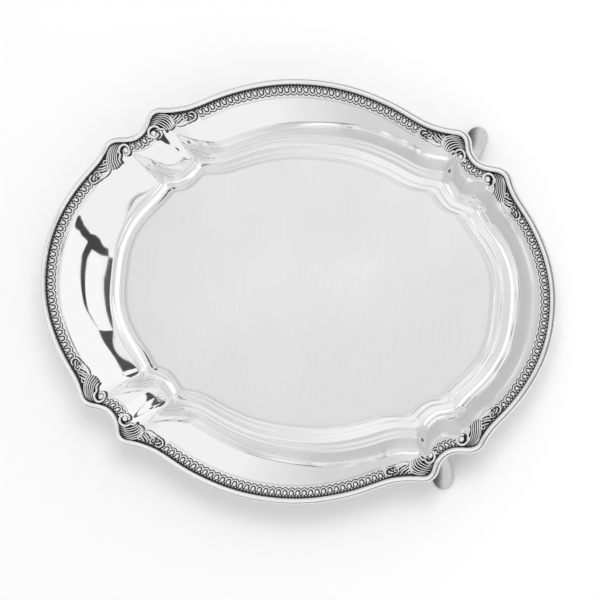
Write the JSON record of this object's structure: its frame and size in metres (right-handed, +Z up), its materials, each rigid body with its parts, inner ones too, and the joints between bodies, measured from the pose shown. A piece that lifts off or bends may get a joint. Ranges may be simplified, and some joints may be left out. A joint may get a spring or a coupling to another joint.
{
  "type": "serving tray",
  "caption": "Oval footed serving tray in polished silver, with a lobed outline, egg-and-dart border, cast corner scrolls and a satin well.",
  "frame": {"origin": "on the table under the middle of the tray", "axes": "+X along the tray's length, +Y across it towards the back, +Z up"},
  "size_m": [0.35, 0.2654, 0.0456],
  "materials": {
    "sheet_silver": "stamped silver sheet, flange polished to a mirror, well floor left fine satin",
    "polished_silver": "plain drawn silver wire, polished bright",
    "cast_silver": "cast silver, buffed bright on the high parts",
    "chased_silver": "ornamented silver strip, dark oxide left in the hollows"
  },
  "bodies": {
    "root": {"tray_body": "sheet_silver", "rim_wire": "polished_silver", "border_strip_right": "chased_silver", "border_strip_left": "chased_silver", "border_strip_back": "chased_silver", "border_strip_front": "chased_silver", "bay_strip_back_right": "chased_silver", "bay_strip_back_left": "chased_silver", "bay_strip_front_left": "chased_silver", "bay_strip_front_right": "chased_silver", "end_scroll_back_right": "cast_silver", "end_scroll_back_left": "cast_silver", "end_scroll_front_left": "cast_silver", "end_scroll_front_right": "cast_silver", "side_scroll_back_right": "cast_silver", "side_scroll_back_left": "cast_silver", "side_scroll_front_left": "cast_silver", "side_scroll_front_right": "cast_silver", "end_leaf_back_right": "chased_silver", "end_leaf_back_left": "chased_silver", "end_leaf_front_left": "chased_silver", "end_leaf_front_right": "chased_silver", "side_leaf_back_right": "chased_silver", "side_leaf_back_left": "chased_silver", "side_leaf_front_left": "chased_silver", "side_leaf_front_right": "chased_silver", "foot_plate_back_right": "cast_silver", "foot_plate_back_left": "cast_silver", "foot_plate_front_left": "cast_silver", "foot_plate_front_right": "cast_silver", "foot_back_right": "cast_silver", "foot_back_left": "cast_silver", "foot_front_left": "cast_silver", "foot_front_right": "cast_silver"}
  },
  "joints": []
}
